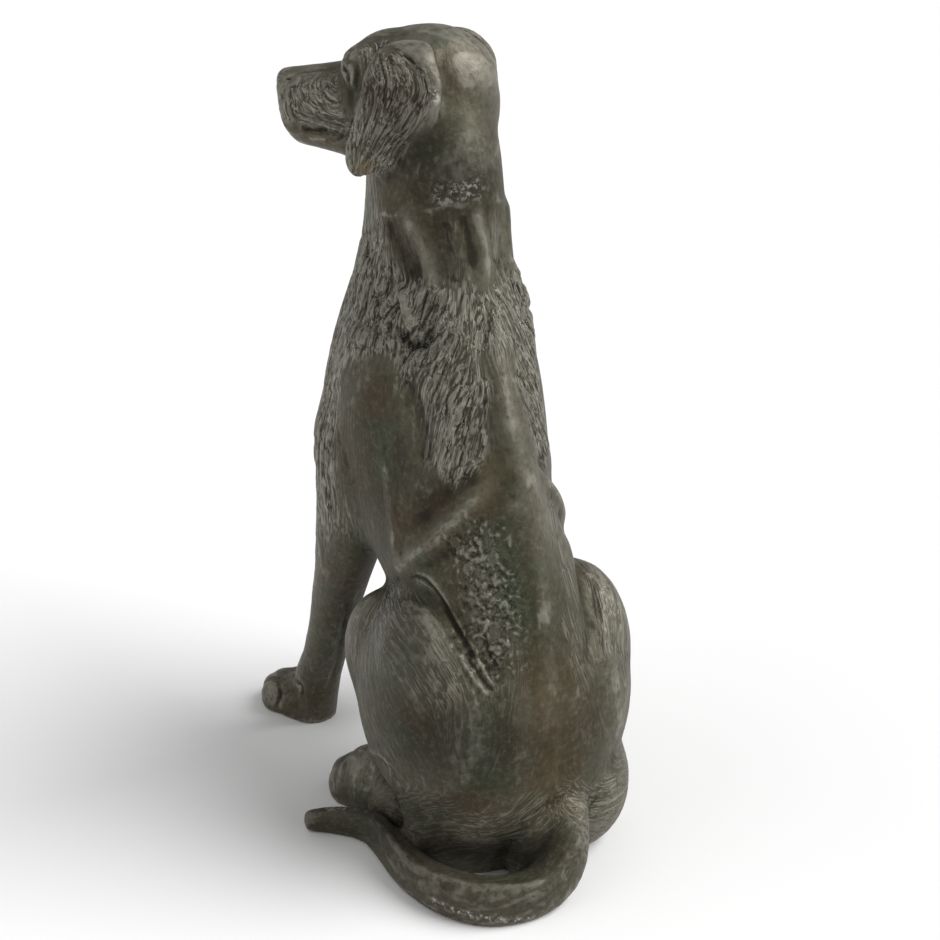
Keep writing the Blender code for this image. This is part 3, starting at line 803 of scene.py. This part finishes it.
def surface_facts(mesh):
    """Stores what the patina and its painted shade and highlights follow: the hair's direction, its depth,
    how hollow the skin is, and the patches of stains and of painted light and shade.
    """
    places = vertex_places(mesh)
    normals = vertex_normals(mesh)
    along, strand, tuft = combed_at(places, normals)
    along *= 1 - TUFT_SHORTENING * np.clip(tuft / FULL_TUFT, 0, 1)[:, None]
    ends = edge_ends(mesh)
    smoothed = places.copy()
    depths = []
    for rounds in (FINE_ROUNDS, BROAD_ROUNDS):
        for _ in range(rounds):
            smoothed = SMOOTHING * smoothed + (1 - SMOOTHING) * neighbour_mean(smoothed, ends)
        depths.append(((smoothed - places) * normals).sum(1))
    curls = near_line(places, CURLS, CURLS_REACH)
    facts = {
        "hair_depth": strand * (1 - CURLS_COMBED * curls),
        "curls": curls,
        "fine_hollow": np.clip(depths[0] / FINE_DEPTH, -1, 1),
        "broad_hollow": np.clip(depths[1] / BROAD_DEPTH, -1, 1),
    }
    for kind, reach, strength, line in STAINS_AND_PAINTED_LIGHT.values():
        mask = strength * near_line(places, line, reach)
        facts[kind] = np.maximum(facts[kind], mask) if kind in facts else mask
    for name, values in facts.items():
        mesh.attributes.new(name, "FLOAT", "POINT").data.foreach_set("value", values.astype(np.float32))
    comb = mesh.attributes.new("comb", "FLOAT_VECTOR", "POINT")
    comb.data.foreach_set("vector", along.astype(np.float32).ravel())


surface_facts(dog.data)


def feed(tree, socket, value):
    """Gives a socket its value, or links it to another node's output."""
    if isinstance(value, bpy.types.NodeSocket):
        tree.links.new(value, socket)
    else:
        socket.default_value = value


def node(tree, kind, settings=None, **inputs):
    """A shader node with some of its properties and inputs set."""
    made = tree.nodes.new("ShaderNode" + kind)
    for name, value in (settings or {}).items():
        setattr(made, name, value)
    for name, value in inputs.items():
        feed(tree, made.inputs[name.replace("_", " ")], value)
    return made


def math_node(tree, operation, *values, clamp=False):
    made = node(tree, "Math", {"operation": operation, "use_clamp": clamp})
    for socket, value in zip(made.inputs, values):
        feed(tree, socket, value)
    return made.outputs[0]


def ramp(tree, value, low, high):
    """0 where value is under low, 1 where it is over high, and smooth between."""
    smoothly = {"interpolation_type": "SMOOTHSTEP"}
    return node(tree, "MapRange", smoothly, Value=value, From_Min=low, From_Max=high).outputs[0]


# The sockets of a mix of two colours
MIX_SHARE = 0
MIX_FIRST = 6
MIX_SECOND = 7
MIX_RESULT = 2


def blended(tree, share, first, second):
    """One colour with a share of a second laid over it."""
    made = tree.nodes.new("ShaderNodeMix")
    made.data_type = "RGBA"
    for number, value in ((MIX_SHARE, share), (MIX_FIRST, first), (MIX_SECOND, second)):
        feed(tree, made.inputs[number], value)
    return made.outputs[MIX_RESULT]


def noise(tree, place, size, detail=2.0, roughness=0.5):
    """Noise whose lumps are about as large as size."""
    made = node(tree, "TexNoise", None, Vector=place, Scale=1 / size, Detail=detail, Roughness=roughness)
    return made.outputs["Fac"]


# Strands finer than the mesh can carry are noise drawn out along the hair, lock by lock, about each lock's
# middle. Where the locks of the first set meet, those of a second set show through, so that no strand ends in
# a seam.
LOCK = 0.030
DRAWN_OUT = 0.94
BROAD_STRAND = 0.0027
FINE_STRAND = 0.0015
SECOND_LOCKS = (0.417, 0.259, 0.338)
combed_group = bpy.data.node_groups.new("combed strands", "ShaderNodeTree")
combed_group.interface.new_socket("Comb", in_out="INPUT", socket_type="NodeSocketVector")
combed_group.interface.new_socket("Broad", in_out="OUTPUT", socket_type="NodeSocketFloat")
combed_group.interface.new_socket("Fine", in_out="OUTPUT", socket_type="NodeSocketFloat")
group_in = combed_group.nodes.new("NodeGroupInput")
group_out = combed_group.nodes.new("NodeGroupOutput")
hair_run = group_in.outputs["Comb"]
object_place = combed_group.nodes.new("ShaderNodeTexCoord").outputs["Object"]


def vector_node(tree, operation, *values, scale=None):
    made = node(tree, "VectorMath", {"operation": operation})
    for socket, value in zip(made.inputs, values):
        feed(tree, socket, value)
    if scale is not None:
        feed(tree, made.inputs["Scale"], scale)
    return made


def drawn_out(place):
    """The place within its lock, shortened along the hair, in a part of the noise that is the lock's own."""
    lock = node(combed_group, "TexVoronoi", None, Vector=place, Scale=1 / LOCK)
    from_middle = vector_node(combed_group, "SUBTRACT", place, lock.outputs["Position"]).outputs[0]
    run = vector_node(combed_group, "DOT_PRODUCT", from_middle, hair_run).outputs["Value"]
    back = math_node(combed_group, "MULTIPLY", run, -DRAWN_OUT)
    shortening = vector_node(combed_group, "SCALE", hair_run, scale=back).outputs[0]
    within = vector_node(combed_group, "ADD", from_middle, shortening).outputs[0]
    return vector_node(combed_group, "ADD", within, lock.outputs["Color"]).outputs[0]


second_place = vector_node(combed_group, "ADD", object_place, SECOND_LOCKS).outputs[0]
to_edge = {"feature": "DISTANCE_TO_EDGE"}
inside = node(combed_group, "TexVoronoi", to_edge, Vector=object_place, Scale=1 / LOCK)
first_share = ramp(combed_group, inside.outputs["Distance"], 0.02, 0.16)
first_set = drawn_out(object_place)
second_set = drawn_out(second_place)
for width, name in ((BROAD_STRAND, "Broad"), (FINE_STRAND, "Fine")):
    first_noise = noise(combed_group, first_set, width, 1.0)
    second_noise = noise(combed_group, second_set, width, 1.0)
    first_part = math_node(combed_group, "MULTIPLY", first_noise, first_share)
    second_share = math_node(combed_group, "SUBTRACT", 1.0, first_share)
    strand_value = math_node(combed_group, "MULTIPLY_ADD", second_noise, second_share, first_part)
    combed_group.links.new(ramp(combed_group, strand_value, 0.37, 0.63), group_out.inputs[name])

# The patina: olive-brown over the bronze, reddish brown and greenish in patches, dark in the hollows and worn
# lighter on what stands proud. Shade is painted on the rump, the seat, inside the tail and on the neck under
# and behind the ear, and highlights are painted on the crown, the muzzle, the strip right of the spine, the
# neck's folds and the far hip. Sizes are of its patches, and shares are how far each colour covers.
OLIVE = (0.056, 0.052, 0.028, 1)
DARK = (0.017, 0.016, 0.010, 1)
RED_BROWN = (0.070, 0.040, 0.022, 1)
GREEN = (0.040, 0.062, 0.036, 1)
PALE = (0.185, 0.175, 0.136, 1)
WORN = (0.360, 0.345, 0.290, 1)
BRASSY = (0.160, 0.118, 0.050, 1)
CHIP = (0.62, 0.62, 0.58, 1)
BROWN_PATCH = 0.070
GREEN_PATCH = 0.050
DARK_CLOUD = 0.024
TIP_PATCH = 0.018
PALE_CLOUD = 0.015
RUBBED_PATCH = 0.012
MOTTLE = 0.010
SPECK = 0.0060
CHIPPING = 0.0045
CURL = 0.0044
PIT = 0.0030
PATCH_SHARE = 0.5
HAIR_PALENESS = 0.60
STAIN_AND_SHADE_DARKNESS = 0.7
CLOUD_DARKNESS = 0.3
SPECK_PALENESS = 0.36
SPECK_DARKNESS = 0.60
STRAND_DARKNESS = 0.70
FINE_DARKNESS = 0.65
BROAD_DARKNESS = 0.55
BROAD_RUBBING = 0.2
PROUD_RUBBING = 0.7
CURL_RUBBING = 0.35
STAIN_AND_SHADE_SHIELDING = 0.7
WORN_SHARE = 0.75
BRASSY_SHARE = 0.8
CHIP_STRENGTH = 1.5
BROAD_STRAND_SHARE = 0.60
FINE_STRAND_SHARE = 0.40

bronze = bpy.data.materials.new("patinated bronze")
bronze.use_nodes = True
tree = bronze.node_tree
shader = tree.nodes["Principled BSDF"]
here = node(tree, "TexCoord").outputs["Object"]
comb = node(tree, "Attribute", {"attribute_name": "comb"}).outputs["Vector"]


def fact(name):
    return node(tree, "Attribute", {"attribute_name": name}).outputs["Fac"]


def times(*values):
    """The product of several values."""
    product = values[0]
    for value in values[1:]:
        product = math_node(tree, "MULTIPLY", product, value)
    return product


hair_depth = fact("hair_depth")
fine_hollow = fact("fine_hollow")
broad_hollow = fact("broad_hollow")
strand_node = tree.nodes.new("ShaderNodeGroup")
strand_node.node_tree = combed_group
tree.links.new(comb, strand_node.inputs["Comb"])
broad_part = times(strand_node.outputs["Broad"], BROAD_STRAND_SHARE)
both = math_node(tree, "ADD", broad_part, times(strand_node.outputs["Fine"], FINE_STRAND_SHARE))
haired = ramp(tree, hair_depth, 0.05, 0.5)
mottle = noise(tree, here, MOTTLE, 5.0, 0.65)

brown = times(ramp(tree, noise(tree, here, BROWN_PATCH, 3.0), 0.42, 0.70), PATCH_SHARE)
color = blended(tree, brown, OLIVE, RED_BROWN)
green = times(ramp(tree, noise(tree, here, GREEN_PATCH, 4.0, 0.6), 0.54, 0.74), PATCH_SHARE)
color = blended(tree, green, color, GREEN)
color = blended(tree, times(haired, HAIR_PALENESS), color, PALE)
color = blended(tree, times(fact("reddish"), ramp(tree, mottle, 0.20, 0.6)), color, RED_BROWN)
color = blended(tree, times(fact("greenish"), ramp(tree, mottle, 0.25, 0.65)), color, GREEN)
# Pale patches: paler patina, and painted highlights on the crown, the muzzle, the strip right of the spine,
# the neck's folds and the far hip.
pale_clouds = ramp(tree, noise(tree, here, PALE_CLOUD, 5.0, 0.6), 0.12, 0.72)
color = blended(tree, times(fact("pale"), pale_clouds), color, PALE)
# Dark patches: darker patina, and painted shade on the rump, the seat, inside the tail and on the neck under
# and behind the ear.
color = blended(tree, times(fact("dark"), STAIN_AND_SHADE_DARKNESS), color, DARK)
dark_clouds = ramp(tree, noise(tree, here, DARK_CLOUD, 5.0, 0.6), 0.48, 0.78)
color = blended(tree, times(dark_clouds, CLOUD_DARKNESS), color, DARK)
smooth = math_node(tree, "SUBTRACT", 1.0, haired)
specks = noise(tree, here, SPECK, 4.0, 0.7)
color = blended(tree, times(smooth, ramp(tree, specks, 0.48, 0.74), SPECK_PALENESS), color, PALE)
color = blended(tree, times(smooth, ramp(tree, specks, 0.50, 0.26), SPECK_DARKNESS), color, DARK)
color = blended(tree, times(ramp(tree, both, 0.62, 0.10), haired, STRAND_DARKNESS), color, DARK)
color = blended(tree, times(ramp(tree, fine_hollow, 0.15, 1.0), FINE_DARKNESS), color, DARK)
color = blended(tree, times(ramp(tree, broad_hollow, 0.15, 1.0), BROAD_DARKNESS), color, DARK)
broadly_proud = times(ramp(tree, broad_hollow, -0.35, -1.0), BROAD_RUBBING)
proud = math_node(tree, "MAXIMUM", ramp(tree, fine_hollow, -0.35, -1.0), broadly_proud)
rubbed_patches = ramp(tree, noise(tree, here, RUBBED_PATCH, 4.0, 0.6), 0.15, 0.60)
rubbed = times(proud, rubbed_patches, PROUD_RUBBING)
tip_patches = ramp(tree, noise(tree, here, TIP_PATCH, 3.0, 0.6), 0.05, 0.62)
tips = times(ramp(tree, both, 0.50, 0.95), haired, tip_patches)
curl_tips = times(fact("curls"), ramp(tree, noise(tree, here, CURL, 2.0, 0.6), 0.52, 0.66), CURL_RUBBING)
rubbed = math_node(tree, "MAXIMUM", rubbed, math_node(tree, "MAXIMUM", tips, curl_tips))
# No wear shows on the dark patches, the painted shade among them.
rubbed = times(rubbed, math_node(tree, "SUBTRACT", 1.0, times(fact("dark"), STAIN_AND_SHADE_SHIELDING)))
color = blended(tree, times(rubbed, WORN_SHARE), color, WORN)
color = blended(tree, times(fact("brassy"), ramp(tree, mottle, 0.2, 0.6), BRASSY_SHARE), color, BRASSY)
chipped_spots = ramp(tree, noise(tree, here, CHIPPING, 3.0, 0.7), 0.50, 0.60)
chips = times(fact("chipped"), CHIP_STRENGTH, chipped_spots)
color = blended(tree, math_node(tree, "MINIMUM", chips, 1.0), color, CHIP)
tree.links.new(color, shader.inputs["Base Color"])

DULLNESS = 0.44
DULLNESS_CHANGE = 0.12
HOLLOW_DULLNESS = 0.2
STAIN_AND_SHADE_DULLNESS = 0.3
dull = math_node(tree, "MULTIPLY_ADD", noise(tree, here, RUBBED_PATCH, 3.0), DULLNESS_CHANGE, DULLNESS)
dull = math_node(tree, "ADD", dull, times(ramp(tree, fine_hollow, 0.0, 0.9), HOLLOW_DULLNESS))
# The dark patches, the painted shade among them, are duller.
dull = math_node(tree, "ADD", dull, times(fact("dark"), STAIN_AND_SHADE_DULLNESS), clamp=True)
tree.links.new(dull, shader.inputs["Roughness"])
shader.inputs["Metallic"].default_value = 0.5
shader.inputs["Specular IOR Level"].default_value = 0.30

FINEST_RELIEF = 0.0020
PIT_DEPTH = 0.17
CURL_DEPTH = 0.7
pits = times(noise(tree, here, PIT, 3.0, 0.6), PIT_DEPTH)
curls_relief = times(noise(tree, here, CURL, 2.0, 0.6), fact("curls"), CURL_DEPTH)
relief = math_node(tree, "ADD", times(both, hair_depth), math_node(tree, "ADD", pits, curls_relief))
bump = node(tree, "Bump", None, Strength=1.0, Distance=FINEST_RELIEF, Height=relief)
tree.links.new(bump.outputs[0], shader.inputs["Normal"])
dog.data.materials.clear()
dog.data.materials.append(bronze)
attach(dog, "root")
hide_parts("seated_dog")

# The floor is a plain pale sheet that the dog stands on. It is level, and so wide that its edges lie far
# behind the dog.
FLOOR_SIDE = 60
FLOOR_PALE = (0.90, 0.90, 0.90, 1)
slab = bmesh.new()
bmesh.ops.create_grid(slab, x_segments=1, y_segments=1, size=FLOOR_SIDE / 2)
floor_mesh = bpy.data.meshes.new("floor")
slab.to_mesh(floor_mesh)
slab.free()
floor = bpy.data.objects.new("floor", floor_mesh)
scene.collection.objects.link(floor)
pale = bpy.data.materials.new("pale floor")
pale.use_nodes = True
pale.node_tree.nodes["Principled BSDF"].inputs["Base Color"].default_value = FLOOR_PALE
pale.node_tree.nodes["Principled BSDF"].inputs["Roughness"].default_value = 0.9
floor_mesh.materials.append(pale)

# The light is that of a studio: a pale surround, broad soft light from above the camera's right that models
# the back, and a weaker one from its left.
world = bpy.data.worlds.new("studio")
scene.world = world
world.use_nodes = True
world.node_tree.nodes["Background"].inputs["Color"].default_value = (1, 1, 1, 1)
world.node_tree.nodes["Background"].inputs["Strength"].default_value = 0.39


def soft_sun(name, right, back, up, spread, strength):
    """Even light from a direction given along the camera's right, towards the camera and upwards."""
    sun = bpy.data.lights.new(name, "SUN")
    sun.angle = math.radians(spread)
    sun.energy = strength
    towards = Vector((backwards.x, backwards.y, 0)).normalized()
    rightwards = Vector((-towards.y, towards.x, 0))
    light = bpy.data.objects.new(name, sun)
    light.rotation_mode = "QUATERNION"
    source = rightwards * right + towards * back + Vector((0, 0, up))
    light.rotation_quaternion = source.to_track_quat("Z", "Y")
    scene.collection.objects.link(light)


soft_sun("key", right=0.90, back=0.12, up=0.95, spread=45, strength=3.0)
soft_sun("fill", right=-0.9, back=0.20, up=0.70, spread=60, strength=0.40)

scene.view_settings.view_transform = "Standard"
